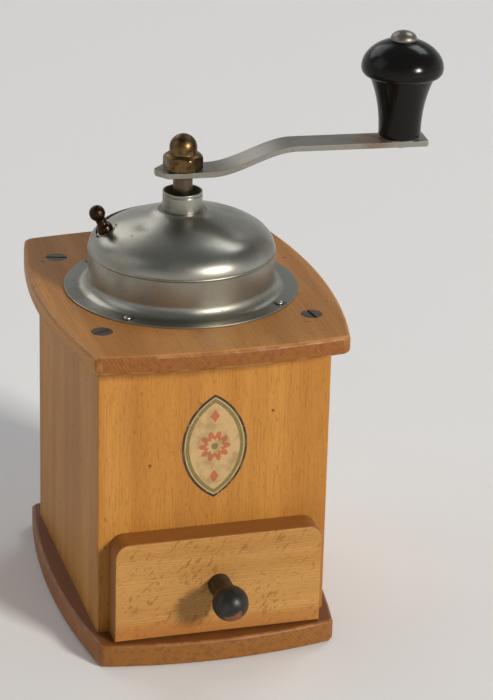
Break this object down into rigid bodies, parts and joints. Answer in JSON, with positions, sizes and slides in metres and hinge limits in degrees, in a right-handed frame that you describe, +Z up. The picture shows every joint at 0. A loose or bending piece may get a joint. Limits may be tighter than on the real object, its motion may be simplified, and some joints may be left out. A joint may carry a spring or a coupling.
{
  "type": "hand grinder",
  "caption": "Wooden box hand mill: metal hopper dome with a fill hatch, cranked spindle with a cone burr under it, and a drawer for the grounds.",
  "frame": {"origin": "centre of the base board's underside, on the spindle's axis", "axes": "+Z up along the spindle, -Y towards the drawer's knob, +X towards the crank at rest"},
  "size_m": [0.1664, 0.1646, 0.2419],
  "materials": {
    "wall_wood": "honey varnished beech, worn satin",
    "top_wood": "warm varnished beech with dark red-brown edges",
    "base_wood": "dark red-brown varnished beech",
    "drawer_face_wood": "pale varnished beech with fine horizontal grain",
    "inner_wood": "bare planed wood",
    "hopper_nickel": "worn satin nickel plate",
    "crank_steel": "satin steel with rust stains",
    "plain_steel": "plain zinc-grey steel",
    "spindle_steel": "browned steel",
    "nail_steel": "bright round nail heads",
    "grinder_iron": "dark cast iron",
    "worn_brass": "brass with brown patina",
    "grip_lacquer": "turned wood in glossy black lacquer",
    "knob_paint": "turned wood in black paint worn to bare wood",
    "label_print": "printed label, matt"
  },
  "bodies": {
    "case": {"base_board": "base_wood", "left_wall": "wall_wood", "right_wall": "wall_wood", "front_wall": "wall_wood", "back_wall": "wall_wood", "top_board": "top_wood", "chute_board": "inner_wood", "top_board_screws": "plain_steel", "base_board_screws": "plain_steel", "front_label": "label_print", "hopper_skirt": "hopper_nickel", "hopper_dome": "hopper_nickel", "flange_nails": "nail_steel", "dome_collar": "hopper_nickel", "bearing_bush": "worn_brass", "burr_housing": "grinder_iron", "housing_screws": "plain_steel", "upper_bridge": "plain_steel", "bridge_rivets": "plain_steel", "spindle_spring": "nail_steel", "lower_stirrup": "plain_steel", "stirrup_screws": "plain_steel"},
    "adjuster": {"adjusting_wheel": "worn_brass"},
    "lift": {"adjusting_stem": "plain_steel"},
    "rotor": {"spindle": "spindle_steel", "cone_burr": "grinder_iron", "cone_pin": "plain_steel", "spring_washer": "plain_steel", "crank_arm": "crank_steel", "crank_nut": "worn_brass", "grip_pin": "crank_steel", "grip_washer": "crank_steel"},
    "grip": {"crank_grip": "grip_lacquer"},
    "hatch": {"hatch_leaf": "hopper_nickel", "hatch_washer": "nail_steel", "hatch_knob": "worn_brass", "hatch_nut": "plain_steel"},
    "drawer": {"drawer_front": "drawer_face_wood", "drawer_left_side": "inner_wood", "drawer_right_side": "inner_wood", "drawer_back": "inner_wood", "drawer_bottom": "inner_wood", "drawer_knob": "knob_paint", "drawer_knob_screw": "plain_steel", "drawer_pins": "plain_steel"}
  },
  "joints": [
    {"name": "adjuster_turn", "type": "hinge", "parent": "case", "child": "adjuster", "pos_m": [0, 0, 0.0768], "axis": [0, 0, 1], "range_deg": [0, 346]},
    {"name": "spindle_lift", "type": "slide", "parent": "case", "child": "lift", "axis": [0, 0, 1], "range_m": [0, 0.0012], "deforming": ["spindle_spring"]},
    {"name": "crank_turn", "type": "hinge", "parent": "lift", "child": "rotor", "pos_m": [0, 0, 0.185], "axis": [0, 0, 1], "continuous": true},
    {"name": "grip_spin", "type": "hinge", "parent": "rotor", "child": "grip", "pos_m": [0.08929, -0.00742, 0.21], "axis": [0, 0, 1], "continuous": true},
    {"name": "hatch_swing", "type": "hinge", "parent": "case", "child": "hatch", "pos_m": [0, 0, 0.168], "axis": [0, 0, -1], "range_deg": [0, 78]},
    {"name": "drawer_slide", "type": "slide", "parent": "case", "child": "drawer", "axis": [0, -1, 0], "range_m": [0, 0.085]}
  ],
  "couplings": [
    {"joint": "adjuster_turn", "follows": "spindle_lift", "rad_per_m": 5026.6}
  ]
}
